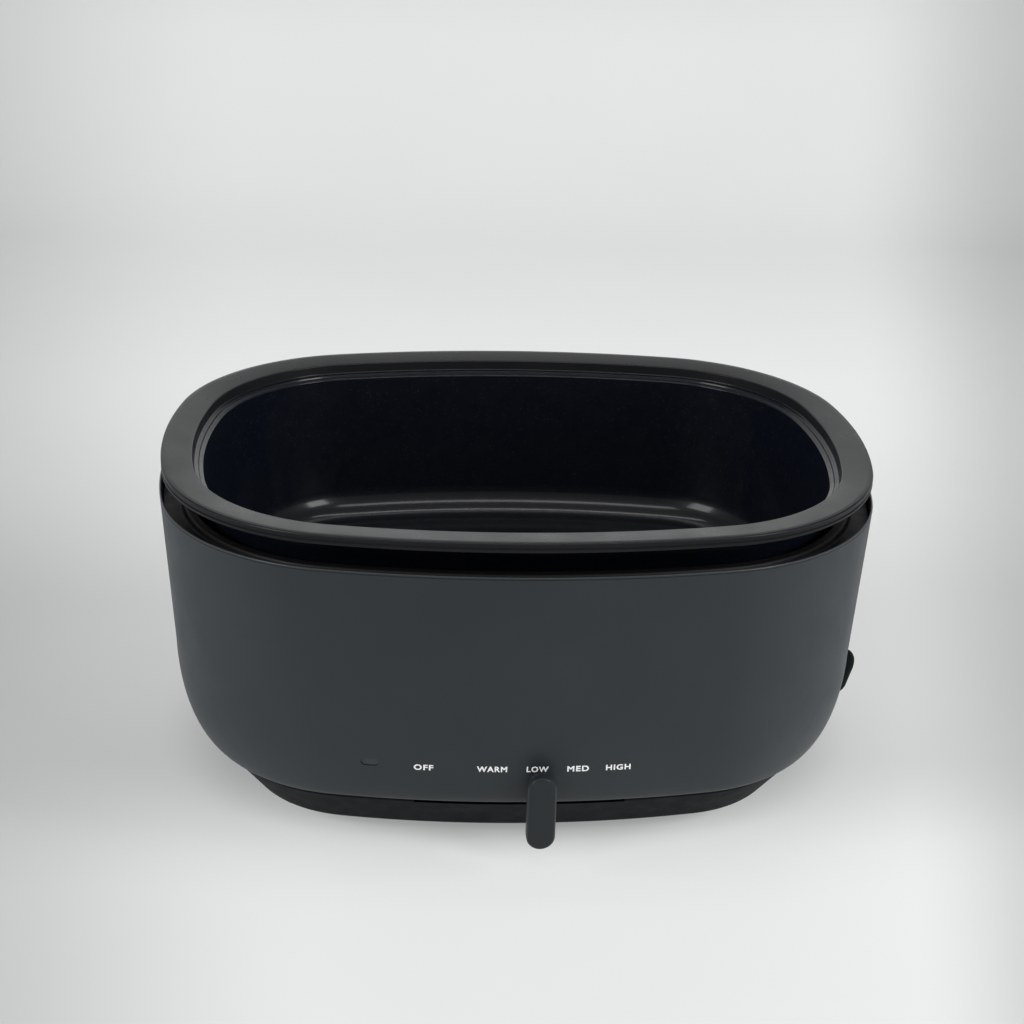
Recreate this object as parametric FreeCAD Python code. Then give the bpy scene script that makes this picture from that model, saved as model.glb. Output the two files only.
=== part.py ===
"""Oval slow cooker: a lift-out pot in a heated well, inside a deep-drawn shell on a low moulded base.

Millimetres, +Z up, +X to the cook's right, the controls face -Y. The origin is on the floor, in the
middle of the object's bounding box, so the ovals are centred OVAL_Y behind it.
Every piece is built around the ovals' own centre and moved back by OVAL_Y when it is written.
"""
import FreeCAD, Part
import os
from math import atan2, cos, degrees, pi, radians, sin, sqrt, tan

V = FreeCAD.Vector
UP = V(0, 0, 1)

# ---------------------------------------------------------------- driving dimensions
# An oval is (half width, half depth, front arc radius, side arc radius, corner arc radius).
RIM = (195.0, 147.8, 559.7, 278.7, 108.5)          # outer edge of the pot's flange
SHELL_TOP = (197.0, 149.8, 561.7, 280.7, 110.5)    # top edge of the outer shell
SHELL_BOTTOM = (173.0, 139.3, 561.7, 272.2, 80.5)  # where the shell turns under

RIM_Z = 185.4              # top of the pot's flange above the floor
SHELL_Z1 = 167.8           # top edge of the shell
SHELL_Z0 = 33.2            # bottom edge of the shell, on the base
SHELL_ROUND = 47.0         # height of the rounded lower part of the shell
SHELL_TAPER = 0.214        # share of the total draw-in that the straight upper part takes
SHELL_T = 1.2
ROUND_SECTIONS = 9         # loft sections through the rounded part of the shell
STRAIGHT_SECTIONS = 6      # and through the straight part above it
BASE_Z0 = 3.0              # underside of the base tray
TRAY_D = 1.5               # tray's top edge, inset from SHELL_BOTTOM

POT_FLANGE_T = 5.5
FLANGE_D = -0.4            # flange's edge, inset from RIM
STEP_TOP_D, STEP_FOOT_D = 16.4, 17.2           # lid step's wall, inset from RIM
STEP_DROP, LEDGE_DROP = 6.8, 9.0               # lid ledge's outer and inner edges, below the rim
RIM_FLAT_D, RIM_FALL = 2.4, 1.3                # flange's top falls inwards from this inset, by this much
POT_DEPTH = 97.0           # flange top to cooking floor
POT_FLOOR_T = 4.0
POT_FILLET = 18.0
POT_WALL_TOP_D, POT_WALL_FLOOR_D = 22.2, 27.8      # pot's inner wall, inset from RIM
CORE_D = 62.0              # inset of the flat discs that fill the floors of the pot and the well
LIFT_GAP = 0.3             # between the pot's base and the well's floor

WELL_T = 1.0
WELL_FILLET = 5.0
WELL_TOP_Z = 158.0
WELL_D_TOP = 18.6          # well wall inset from RIM at its top
WELL_D_BOTTOM = 22.2       # and at its floor
WELL_LIP_D = 8.0           # outer edge of the well's lip
WELL_FLOOR_Z = RIM_Z - POT_DEPTH - POT_FLOOR_T - LIFT_GAP
WELL_UNDER_Z = WELL_FLOOR_Z - WELL_T

LOWER_BAND, UPPER_BAND = (106.0, 122.0), (128.0, 144.0)    # heights of the heater bands
BAND_GAP, BAND_T = 0.1, 2.2            # off the well's wall, and thickness
WRAP, WRAP_GAP, WRAP_T = (100.0, 150.0), 6.2, 4.0          # the same for the insulation

PLATE_Z0, PLATE_Z1 = 5.8, 7.0          # steel plate that closes the base
PLATE_D = 29.0                         # plate's edge, inset from SHELL_BOTTOM
SHIELD_Z0, SHIELD_Z1 = 69.6, 70.4      # heat shield between the well and the controls
SHIELD_D = 30.0                        # shield's edge, inset from RIM
POST_X, POST_Y = 95.0, 55.0            # four standoffs that carry the shield and the well
FOOT_X, FOOT_Y = 120.0, 80.0
FOOT_R, FOOT_TOP_R = 8.6, 9.4          # at the floor and at the plate
SCREW_X, SCREW_Y = 110.7, 89.3         # base screws
STEM_R, BARB_R = 2.9, 4.0              # foot's stem through the plate and barb above it
VENT_PITCH, VENT_W = 8.0, 30.0         # spacing and half length of the plate's vent slots
POST_HOLE_R = 2.1
SCREW_HOLE_R = 1.7

PIVOT_Y = 102.0            # lever pivot, behind the ovals' centre
PIN_R, PIN_BASE_R = 3.0, 8.5
RIVETS_AT = (20, 36)       # rivets' distances in front of the pivot
RIVET_R = 1.6
SHAFT_R = 3.0
MODULE = 1.0               # gear module of the sector and pinion
SECTOR_TEETH = 104         # teeth of the whole circle that the sector is cut from
PINION_TEETH = 16
LEVER_REST_DEG = 1.95      # LOW: the lever stands a little to the right
LEVER_LEFT_DEG = -13.85    # travel from LOW to OFF
LEVER_RIGHT_DEG = 9.25     # travel from LOW to HIGH
ARM_Z0, ARM_Z1 = 31.4, 32.6
CLIP_Z0, CLIP_Z1 = ARM_Z1 + 6.0, ARM_Z1 + 6.8      # spring clip in the pin's groove
CLIP_R = 2.2               # bottom of the groove
SLOT_X0, SLOT_X1 = -56.5, 54.5
SLOT_Z0 = 30.1

KNOB_W, KNOB_H, KNOB_T = 15.0, 43.0, 6.5
KNOB_FRONT_Y = -158.0      # front face with the lever straight ahead
KNOB_Z0 = 15.4
KNOB_CHAMFER = 0.9

OVAL_Y = (-KNOB_FRONT_Y - SHELL_TOP[1]) / 2        # knob stands proud of the shell by twice this

LENS_X, LENS_Z = -79.6, 58.8
LENS_W, LENS_H = 9.4, 4.6
LENS_SUNK = 0.7            # face of the lens behind the shell's surface
GLAND_Y, GLAND_Z = -39.0, 57.0
GLAND_W, GLAND_H, GLAND_PROUD = 17.0, 27.0, 6.6
GLAND_ROUND, GLAND_LEAN_DEG = 5.8, 15.0            # edge rounding, and lean that follows the shell
GLAND_NECK_R, CORD_BORE_R = 6.9, 3.6

RUN_FIT = 0.05             # radial running clearance of shafts in their holes
SEPARATE = 0.3             # least gap between pieces that move past each other


# ---------------------------------------------------------------- ovals
def corner_arc(oval):
    """Centre of the corner arc in the +X +Y quarter, and the angles where it starts and ends."""
    half_w, half_d, r_front, r_side, r_corner = oval
    side = V(half_w - r_side, 0, 0)
    back = V(0, half_d - r_front, 0)
    from_side, from_back = r_side - r_corner, r_front - r_corner
    between = back - side
    span = between.Length
    along = (from_side**2 - from_back**2 + span**2) / (2 * span)
    across = sqrt(from_side**2 - along**2)
    unit = between / span
    normal = V(unit.y, -unit.x, 0)
    foot = side + unit * along
    centre = max((foot + normal * across, foot - normal * across), key=lambda p: p.x + p.y)
    start = atan2(centre.y - side.y, centre.x - side.x)
    end = atan2(centre.y - back.y, centre.x - back.x)
    return centre, start, end


def oval_arcs(oval):
    """The oval's eight arcs, anticlockwise, as (centre, radius, start angle, end angle)."""
    half_w, half_d, r_front, r_side, r_corner = oval
    c, a1, a2 = corner_arc(oval)
    side, back = half_w - r_side, half_d - r_front
    return [
        (V(side, 0, 0), r_side, -a1, a1),
        (V(c.x, c.y, 0), r_corner, a1, a2),
        (V(0, back, 0), r_front, a2, pi - a2),
        (V(-c.x, c.y, 0), r_corner, pi - a2, pi - a1),
        (V(-side, 0, 0), r_side, pi - a1, pi + a1),
        (V(-c.x, -c.y, 0), r_corner, pi + a1, pi + a2),
        (V(0, -back, 0), r_front, pi + a2, 2 * pi - a2),
        (V(c.x, -c.y, 0), r_corner, 2 * pi - a2, 2 * pi - a1),
    ]


def oval_wire(oval, inset, z):
    edges = []
    for centre, radius, a0, a1 in oval_arcs(oval):
        circle = Part.Circle(centre + V(0, 0, z), UP, radius - inset)
        edges.append(Part.Arc(circle, a0, a1).toShape())
    return Part.Wire(edges)


def oval_prism(oval, inset, z0, z1):
    return Part.Face(oval_wire(oval, inset, z0)).extrude(V(0, 0, z1 - z0))


def rounded_face(corners):
    """Face in the XZ plane from (x, z) or (x, z, rounding radius) corners."""
    points = [V(c[0], 0, c[1]) for c in corners]
    radii = [c[2] if len(c) > 2 else 0 for c in corners]
    entries, exits, mids = [], [], []
    for i, p in enumerate(points):
        to_prev = (points[i - 1] - p).normalize()
        to_next = (points[(i + 1) % len(points)] - p).normalize()
        half = to_prev.getAngle(to_next) / 2
        reach = radii[i] / tan(half) if radii[i] else 0
        entries.append(p + to_prev * reach)
        exits.append(p + to_next * reach)
        mids.append(p + (to_prev + to_next).normalize() * radii[i] * (1 / sin(half) - 1))
    edges = []
    for i in range(len(points)):
        if radii[i]:
            edges.append(Part.Arc(entries[i], mids[i], exits[i]).toShape())
        following = entries[(i + 1) % len(points)]
        if (following - exits[i]).Length > 1e-6:
            edges.append(Part.LineSegment(exits[i], following).toShape())
    return Part.Face(Part.Wire(edges))


def oval_sweep(oval, corners):
    """Solid whose section is the (inset, z) outline, carried round the whole oval."""
    pieces = []
    for centre, radius, a0, a1 in oval_arcs(oval):
        face = rounded_face([(radius - c[0],) + tuple(c[1:]) for c in corners])
        face.rotate(V(), UP, degrees(a0))
        face.translate(centre)
        pieces.append(face.revolve(centre, UP, degrees(a1 - a0)))
    return pieces[0].fuse(pieces[1:]).removeSplitter()


def blend(top, bottom, share):
    return tuple(t + (b - t) * share for t, b in zip(top, bottom))


# ---------------------------------------------------------------- small helpers
def cylinder(radius, z0, z1, x=0.0, y=0.0):
    return Part.makeCylinder(radius, z1 - z0, V(x, y, z0))


def block(x0, x1, y0, y1, z0, z1):
    return Part.makeBox(x1 - x0, y1 - y0, z1 - z0, V(x0, y0, z0))


def hexagon(flats, z0, z1, x=0.0, y=0.0):
    radius = flats / sqrt(3)
    points = [V(x + radius * cos(k * pi / 3), y + radius * sin(k * pi / 3), z0) for k in range(7)]
    return Part.Face(Part.makePolygon(points)).extrude(V(0, 0, z1 - z0))


def corners_of(x, y):
    return [(x, y), (-x, y), (-x, -y), (x, -y)]


def turned(shape, angle, centre=V()):
    moved = shape.copy()
    moved.rotate(centre, UP, angle)
    return moved


def pill(width, height, depth):
    """Upright rounded bar, centred on the origin in X and Z, from y = 0 to y = depth."""
    r = min(width, height) / 2
    if width < height:
        ends = [V(-r, 0, -(height / 2 - r)), V(-r, 0, height / 2 - r), V(0, 0, height / 2),
                V(r, 0, height / 2 - r), V(r, 0, -(height / 2 - r)), V(0, 0, -height / 2)]
    else:
        ends = [V(-(width / 2 - r), 0, r), V(width / 2 - r, 0, r), V(width / 2, 0, 0),
                V(width / 2 - r, 0, -r), V(-(width / 2 - r), 0, -r), V(-width / 2, 0, 0)]
    lines = [Part.LineSegment(ends[k], ends[k + 1]).toShape() for k in (0, 3)]
    arcs = [Part.Arc(ends[k + 1], ends[k + 2], ends[(k + 3) % 6]).toShape() for k in (0, 3)]
    edges = [lines[0], arcs[0], lines[1], arcs[1]]
    return Part.Face(Part.Wire(edges)).extrude(V(0, depth, 0))


# ---------------------------------------------------------------- outer shell
def shell_form(inset, z0, z1):
    """Solid inside the shell's surface: straight draft above, a quarter ellipse turning under below."""
    round_h = SHELL_ROUND - (z0 - SHELL_Z0)
    sections = []
    for step in range(ROUND_SECTIONS, -1, -1):
        angle = step * pi / 2 / ROUND_SECTIONS
        share = SHELL_TAPER + (1 - SHELL_TAPER) * (1 - cos(angle))
        z = SHELL_Z0 + SHELL_ROUND - round_h * sin(angle)
        sections.append(oval_wire(blend(SHELL_TOP, SHELL_BOTTOM, share), inset, z))
    for step in range(1, STRAIGHT_SECTIONS + 1):
        z = SHELL_Z0 + SHELL_ROUND + (z1 - SHELL_Z0 - SHELL_ROUND) * step / STRAIGHT_SECTIONS
        share = SHELL_TAPER * (SHELL_Z1 - z) / (SHELL_Z1 - SHELL_Z0 - SHELL_ROUND)
        sections.append(oval_wire(blend(SHELL_TOP, SHELL_BOTTOM, share), inset, z))
    return Part.makeLoft(sections, True, False)


def front_y(x, oval):
    """Y of the front arc at x."""
    return -(oval[1] - oval[2] + sqrt(oval[2] ** 2 - x**2))


def lens_place(shape):
    """Moves a piece built at the origin, facing -Y, to the lens window in the shell's front."""
    level = 1 - (LENS_Z - SHELL_Z0) / SHELL_ROUND
    share = SHELL_TAPER + (1 - SHELL_TAPER) * (1 - sqrt(1 - level**2))
    oval = blend(SHELL_TOP, SHELL_BOTTOM, share)
    placed = turned(shape, degrees(LENS_X / oval[2]))
    placed.translate(V(LENS_X, front_y(LENS_X, oval), LENS_Z))
    return placed


def gland_place(shape):
    """Moves a piece built at the origin, facing +X, to the cord exit in the shell's right side."""
    level = 1 - (GLAND_Z - SHELL_Z0) / SHELL_ROUND
    share = SHELL_TAPER + (1 - SHELL_TAPER) * (1 - sqrt(1 - level**2))
    half_w, _, _, r_side, _ = blend(SHELL_TOP, SHELL_BOTTOM, share)
    leaning = shape.copy()
    leaning.rotate(V(), V(0, 1, 0), GLAND_LEAN_DEG)
    placed = turned(leaning, degrees(GLAND_Y / r_side))
    placed.translate(V(half_w - r_side + sqrt(r_side**2 - GLAND_Y**2), GLAND_Y, GLAND_Z))
    return placed


def along_x(radius, x0, x1):
    return Part.makeCylinder(radius, x1 - x0, V(x0, 0, 0), V(1, 0, 0))


def outer_shell():
    shell = shell_form(0, SHELL_Z0, SHELL_Z1)
    shell = shell.cut(shell_form(SHELL_T, SHELL_Z0 + SHELL_T, SHELL_Z1 + 0.01))
    shell = shell.cut(oval_prism(SHELL_BOTTOM, 18, SHELL_Z0 - 1, SHELL_Z0 + 3))
    window = pill(LENS_W, LENS_H, 12)
    window.translate(V(0, -6, 0))
    return shell.cut(lens_place(window)).cut(gland_place(along_x(GLAND_NECK_R + 0.1, -12, 8)))


# ---------------------------------------------------------------- pot and well
def cooking_pot():
    rim, floor = RIM_Z, RIM_Z - POT_DEPTH
    under, base = rim - POT_FLANGE_T, floor - POT_FLOOR_T
    groove = rim - POT_FLANGE_T / 2
    wall = oval_sweep(RIM, [
        (FLANGE_D, under, 1.2), (FLANGE_D, groove - 0.8), (FLANGE_D + 0.5, groove - 0.4),
        (FLANGE_D + 0.5, groove), (FLANGE_D, groove + 0.4), (FLANGE_D, rim, 0.9),
        (RIM_FLAT_D, rim, 8.0), (STEP_TOP_D, rim - RIM_FALL, 0.9), (STEP_FOOT_D, rim - STEP_DROP, 0.8),
        (POT_WALL_TOP_D, rim - LEDGE_DROP, 1.2), (POT_WALL_FLOOR_D, floor, POT_FILLET),
        (CORE_D, floor), (CORE_D, base), (24.6, base, POT_FILLET + 2),
        (20.8, rim - 11.8, 1.0), (11.2, rim - 11.4, 2.0), (10.6, under, 1.2)])
    return wall.fuse(oval_prism(RIM, CORE_D, base, floor)).removeSplitter()


def well_inset(z):
    """Inset of the well's inner wall from the rim oval at height z."""
    return WELL_D_TOP + (WELL_D_BOTTOM - WELL_D_TOP) * (WELL_TOP_Z - z) / (WELL_TOP_Z - WELL_FLOOR_Z)


def heating_well():
    wall = oval_sweep(RIM, [
        (WELL_LIP_D, WELL_TOP_Z), (WELL_D_TOP, WELL_TOP_Z, 1.5), (WELL_D_BOTTOM, WELL_FLOOR_Z, WELL_FILLET),
        (CORE_D, WELL_FLOOR_Z), (CORE_D, WELL_UNDER_Z),
        (WELL_D_BOTTOM - WELL_T, WELL_UNDER_Z, WELL_FILLET + WELL_T),
        (WELL_D_TOP - WELL_T, WELL_TOP_Z - WELL_T, 0.5), (WELL_LIP_D, WELL_TOP_Z - WELL_T)])
    return wall.fuse(oval_prism(RIM, CORE_D, WELL_UNDER_Z, WELL_FLOOR_Z)).removeSplitter()


def liner_ring():
    """Moulded ring that closes the space between the well and the shell."""
    top = WELL_TOP_Z + 2.2
    return oval_sweep(RIM, [
        (-0.2, WELL_TOP_Z), (-0.2, top, 0.6), (9.5, top, 1.5), (10.6, top + 3.4, 1.6),
        (15.6, top + 3.4, 2.0), (17.2, WELL_TOP_Z), (7.6, WELL_TOP_Z),
        (7.6, WELL_TOP_Z - 4), (5.4, WELL_TOP_Z - 4), (5.4, WELL_TOP_Z)])


def band(z0, z1, inner, outer):
    """Strip wrapped round the well's outside, from inner to outer millimetres off its wall."""
    return oval_sweep(RIM, [
        (well_inset(z0) - WELL_T - inner, z0), (well_inset(z1) - WELL_T - inner, z1),
        (well_inset(z1) - WELL_T - outer, z1), (well_inset(z0) - WELL_T - outer, z0)])


def strap_buckle():
    """Spring clips that pull the heater bands' ends together at the back of the well."""
    clips = []
    for z0, z1 in (LOWER_BAND, UPPER_BAND):
        y = RIM[1] - well_inset(z1) + WELL_T + BAND_GAP + BAND_T       # on the band's outer face
        clip = block(-9, 9, y, y + 0.8, z0 + 2, z1 - 2)
        rolls = [cylinder(1.0, z0 + 4, z1 - 4, x, y + 1.2) for x in (-7, 7)]
        clips.append(clip.fuse(rolls))
    return Part.makeCompound(clips)


def heat_shield():
    inner, lip_z = SHIELD_D + SHIELD_Z1 - SHIELD_Z0, SHIELD_Z1 + 6
    plate = oval_prism(RIM, SHIELD_D, SHIELD_Z0, SHIELD_Z1)
    lip = oval_sweep(RIM, [(SHIELD_D, SHIELD_Z0), (SHIELD_D, lip_z), (inner, lip_z), (inner, SHIELD_Z0)])
    shield = plate.fuse(lip).removeSplitter()
    for x, y in corners_of(POST_X, POST_Y):
        shield = shield.cut(cylinder(POST_HOLE_R, SHIELD_Z0 - 1, SHIELD_Z1 + 1, x, y))
    return shield


# ---------------------------------------------------------------- base
def base_tray():
    """Moulded skirt under the shell, drawn in towards the floor, with a notch that the lever uses."""
    lip, ledge, ledge_z = PLATE_D - 0.4, PLATE_D + 9, PLATE_Z1 + 2.4
    skirt = oval_sweep(SHELL_BOTTOM, [
        (TRAY_D, SHELL_Z0), (TRAY_D, SHELL_Z0 - 2.4, 1.5), (18.6, 8.0, 8), (26.0, BASE_Z0), (lip, BASE_Z0),
        (lip, PLATE_Z1), (ledge, PLATE_Z1), (ledge, ledge_z), (21.4, ledge_z, 2),
        (TRAY_D + 3, SHELL_Z0 - 1.2, 1.5), (TRAY_D + 3, SHELL_Z0)])
    notch = block(SLOT_X0, SLOT_X1, -SHELL_BOTTOM[1] - 1, -110, SLOT_Z0, SHELL_Z0 + 1)
    tray = skirt.cut(notch)
    for x, y in corners_of(SCREW_X, SCREW_Y):
        tray = tray.cut(cylinder(SCREW_HOLE_R, PLATE_Z0, ledge_z + 1, x, y))
    for x, y in corners_of(FOOT_X, FOOT_Y):
        tray = tray.cut(cylinder(BARB_R + 0.4, PLATE_Z1, ledge_z + 1, x, y))
        tray = tray.cut(cylinder(FOOT_TOP_R + SEPARATE, 0, PLATE_Z0 + SEPARATE, x, y))
    return tray.cut(cylinder(PIN_BASE_R + 0.7, PLATE_Z1, ledge_z + 1, 0, PIVOT_Y))


def base_plate():
    """Steel plate with holes for feet, posts and screws, and nine vent slots in the middle."""
    plate = oval_prism(SHELL_BOTTOM, PLATE_D, PLATE_Z0, PLATE_Z1)
    for hole_x, hole_y, radius in ((FOOT_X, FOOT_Y, STEM_R + 0.1), (SCREW_X, SCREW_Y, SCREW_HOLE_R),
                                   (POST_X, POST_Y, POST_HOLE_R)):
        for x, y in corners_of(hole_x, hole_y):
            plate = plate.cut(cylinder(radius, 0, PLATE_Z1 + 1, x, y))
    for k in range(-4, 5):
        y = k * VENT_PITCH
        plate = plate.cut(block(-VENT_W, VENT_W, y - VENT_PITCH / 4, y + VENT_PITCH / 4, 0, PLATE_Z1 + 1))
    return plate


def rubber_feet():
    feet = []
    for x, y in corners_of(FOOT_X, FOOT_Y):
        pad = Part.makeCone(FOOT_R, FOOT_TOP_R, PLATE_Z0, V(x, y, 0))
        stem = cylinder(STEM_R, PLATE_Z0, PLATE_Z1, x, y)
        barb = cylinder(BARB_R, PLATE_Z1, PLATE_Z1 + 2, x, y)
        feet.append(pad.fuse([stem, barb]))
    return Part.makeCompound(feet)


def base_screws():
    """Four screws through the plate into the tray's ledge."""
    screws = []
    for x, y in corners_of(SCREW_X, SCREW_Y):
        head = cylinder(3.0, PLATE_Z0 - 1.6, PLATE_Z0, x, y)
        screws.append(head.fuse(cylinder(SCREW_HOLE_R - 0.1, PLATE_Z0, PLATE_Z1 + 2.4, x, y)))
    return Part.makeCompound(screws)


def standoff_posts():
    return Part.makeCompound([hexagon(9, PLATE_Z1, SHIELD_Z0, x, y) for x, y in corners_of(POST_X, POST_Y)])


def post_screws():
    """Screws that hold the posts to the plate from below and the shield to the posts from above."""
    radius = POST_HOLE_R - 0.1
    screws = []
    for x, y in corners_of(POST_X, POST_Y):
        lower_head = cylinder(3.6, PLATE_Z0 - 1.8, PLATE_Z0, x, y)
        screws.append(lower_head.fuse(cylinder(radius, PLATE_Z0, PLATE_Z1, x, y)))
        upper_head = cylinder(5.0, SHIELD_Z1, WELL_UNDER_Z, x, y)
        screws.append(upper_head.fuse(cylinder(radius, SHIELD_Z0, SHIELD_Z1, x, y)))
    return Part.makeCompound(screws)


# ---------------------------------------------------------------- gears
def involute_point(base_r, roll):
    return base_r * (cos(roll) + roll * sin(roll)), base_r * (sin(roll) - roll * cos(roll))


def tooth_flank(teeth, backlash):
    """Right flank of the tooth centred on angle 0, as (radius, angle) from root to tip."""
    pitch_r = MODULE * teeth / 2
    base_r = pitch_r * cos(radians(20))
    tip_r, root_r = pitch_r + 0.9 * MODULE, pitch_r - 1.2 * MODULE
    at_pitch = tan(radians(20)) - radians(20)
    half = pi / (2 * teeth) - backlash / (2 * pitch_r)
    flank = []
    if root_r < base_r:
        flank.append((root_r, half + at_pitch))
    start_r = max(base_r, root_r)
    for k in range(5):
        r = start_r + (tip_r - start_r) * k / 4
        roll = sqrt(max((r / base_r) ** 2 - 1, 0))
        x, y = involute_point(base_r, roll)
        flank.append((r, half + at_pitch - atan2(y, x)))
    return flank


def toothed_outline(teeth, numbers, backlash, offset):
    """Points round the teeth with the given numbers; offset turns them all, in radians."""
    points = []
    flank = tooth_flank(teeth, backlash)
    for n in numbers:
        centre = offset + 2 * pi * n / teeth
        for r, a in flank:
            points.append(V(r * cos(centre - a), r * sin(centre - a), 0))
        for r, a in reversed(flank):
            points.append(V(r * cos(centre + a), r * sin(centre + a), 0))
    return points


PITCH_SECTOR = MODULE * SECTOR_TEETH / 2
PITCH_PINION = MODULE * PINION_TEETH / 2
SWITCH_Y = PIVOT_Y - PITCH_SECTOR - PITCH_PINION


def sector_gear():
    """Part gear on the lever, centred on the origin here; a tooth centre points along -Y at rest."""
    outline = toothed_outline(SECTOR_TEETH, range(-6, 8), 0.08, -pi / 2)
    outline = [V(-3, 8, 0)] + outline + [V(3, 8, 0)]
    gear = Part.Face(Part.makePolygon(outline + outline[:1])).extrude(V(0, 0, 4.4))
    gear = gear.fuse(cylinder(9.0, 0, 5.6)).cut(cylinder(PIN_R + RUN_FIT, -1, 8))
    for radius in RIVETS_AT:
        gear = gear.cut(turned(cylinder(RIVET_R, -1, 8, 0, -radius), LEVER_REST_DEG))
    gear.translate(V(0, PIVOT_Y, ARM_Z1))
    return gear.removeSplitter()


def switch_pinion():
    """Pinion on the switch shaft; a tooth space faces the sector, along +Y."""
    points = toothed_outline(PINION_TEETH, range(PINION_TEETH), 0.08, pi / 2 + pi / PINION_TEETH)
    gear = Part.Face(Part.makePolygon(points + points[:1])).extrude(V(0, 0, 4.0))
    gear = gear.cut(cylinder(SHAFT_R, -1, 8))
    gear.translate(V(0, SWITCH_Y, ARM_Z1 + 0.6))
    return gear


# ---------------------------------------------------------------- lever
def on_lever(shape):
    """Turns a piece drawn with the lever straight ahead to where it stands at LOW."""
    return turned(shape, LEVER_REST_DEG, V(0, PIVOT_Y, 0))


def lever_arm():
    tip = KNOB_FRONT_Y + KNOB_T - 0.01
    outline = [V(-6, PIVOT_Y, 0), V(-6, -100, 0), V(-2.5, -112, 0), V(-2.5, tip, 0),
               V(2.5, tip, 0), V(2.5, -112, 0), V(6, -100, 0), V(6, PIVOT_Y, 0), V(-6, PIVOT_Y, 0)]
    arm = Part.Face(Part.makePolygon(outline)).extrude(V(0, 0, ARM_Z1 - ARM_Z0))
    arm.translate(V(0, 0, ARM_Z0))
    arm = arm.fuse(cylinder(9.0, ARM_Z0, ARM_Z1, 0, PIVOT_Y))
    arm = arm.cut(cylinder(PIN_R + RUN_FIT, ARM_Z0 - 1, ARM_Z1 + 1, 0, PIVOT_Y))
    for radius in RIVETS_AT:
        arm = arm.cut(cylinder(RIVET_R, ARM_Z0 - 1, ARM_Z1 + 1, 0, PIVOT_Y - radius))
    return on_lever(arm.removeSplitter())


def sector_rivets():
    rivets = []
    for radius in RIVETS_AT:
        y = PIVOT_Y - radius
        shank = cylinder(RIVET_R, ARM_Z0 - 0.8, ARM_Z1 + 5.2, 0, y)
        heads = [cylinder(3.0, z, z + 1, 0, y) for z in (ARM_Z0 - 1.0, ARM_Z1 + 4.4)]
        rivets.append(shank.fuse(heads))
    return on_lever(Part.makeCompound(rivets))


def control_knob():
    bar = pill(KNOB_W, KNOB_H, KNOB_T)
    front = [e for e in bar.Edges if e.BoundBox.YMax < 0.01]
    bar = bar.makeChamfer(KNOB_CHAMFER, front)
    bar.translate(V(0, KNOB_FRONT_Y, KNOB_Z0 + KNOB_H / 2))
    neck_y = KNOB_FRONT_Y + KNOB_T
    mid = (ARM_Z0 + ARM_Z1) / 2
    neck = block(-4.5, 4.5, neck_y - 0.5, neck_y + 4.6, mid - 4, mid + 4)
    knob = bar.fuse(neck).cut(block(-2.5, 2.5, neck_y - 0.01, neck_y + 6, ARM_Z0, ARM_Z1))
    return on_lever(knob.removeSplitter())


def pivot_pin():
    """Shouldered pin with a base flange and a groove for the clip."""
    pin = cylinder(PIN_R, PLATE_Z1, CLIP_Z1 + 0.8)
    shoulder = cylinder(5.0, PLATE_Z1, ARM_Z0 - SEPARATE)
    pin = pin.fuse([shoulder, cylinder(PIN_BASE_R, PLATE_Z1, PLATE_Z1 + 2)])
    pin = pin.cut(cylinder(PIN_R + 1, CLIP_Z0, CLIP_Z1).cut(cylinder(CLIP_R, CLIP_Z0, CLIP_Z1)))
    pin.translate(V(0, PIVOT_Y, 0))
    return pin.removeSplitter()


def pivot_clip():
    clip = cylinder(5.4, CLIP_Z0, CLIP_Z1).cut(cylinder(CLIP_R, CLIP_Z0, CLIP_Z1))
    clip = clip.cut(block(-1.6, 1.6, -8, 0, CLIP_Z0, CLIP_Z1))
    clip.translate(V(0, PIVOT_Y, 0))
    return clip


# ---------------------------------------------------------------- switch
BRACKET_Z1 = 41.0
BRACKET_T = 1.5
SWITCH_TOP = BRACKET_Z1 + 16
BUSHING_R = 5.0
TAB_X, TAB_Y = 12, 10      # spacing of the switch's blade tabs


def switch_bracket():
    """Bridge over the lever that the rotary switch hangs its shaft through."""
    top = block(-30, 30, -13, 13, BRACKET_Z1 - BRACKET_T, BRACKET_Z1)
    legs = [block(x, x + BRACKET_T, -13, 13, PLATE_Z1, BRACKET_Z1) for x in (-30, 30 - BRACKET_T)]
    toes = [block(x, x + 14, -13, 13, PLATE_Z1, PLATE_Z1 + BRACKET_T) for x in (-44, 30)]
    bracket = top.fuse(legs + toes).removeSplitter().cut(cylinder(BUSHING_R, ARM_Z1, BRACKET_Z1 + 1))
    bracket.translate(V(0, SWITCH_Y, 0))
    return bracket


def rotary_switch():
    body = block(-18, 18, -16, 16, BRACKET_Z1, SWITCH_TOP)
    body = body.makeChamfer(1.0, [e for e in body.Edges if e.BoundBox.ZLength > 10])
    body = body.fuse(cylinder(BUSHING_R, ARM_Z1 + 5.6, BRACKET_Z1))
    body = body.cut(cylinder(13.4, BRACKET_Z1 + 3, SWITCH_TOP - 3))
    body = body.cut(cylinder(SHAFT_R + RUN_FIT, ARM_Z1, SWITCH_TOP - 3))
    tabs = [block(x - 2.4, x + 2.4, y - 0.4, y + 0.4, SWITCH_TOP - 1.5, SWITCH_TOP + 6.5)
            for x in (-TAB_X, 0, TAB_X) for y in (-TAB_Y, TAB_Y)]
    switch = body.fuse(tabs).removeSplitter()
    switch.translate(V(0, SWITCH_Y, 0))
    return switch


def bushing_nut():
    z1 = BRACKET_Z1 - BRACKET_T
    nut = hexagon(14, z1 - 1.6, z1).cut(cylinder(BUSHING_R, z1 - 2, z1 + 1))
    nut.translate(V(0, SWITCH_Y, 0))
    return nut


def switch_shaft():
    return cylinder(SHAFT_R, ARM_Z1 + 0.6, SWITCH_TOP - 3.4, 0, SWITCH_Y)


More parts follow.
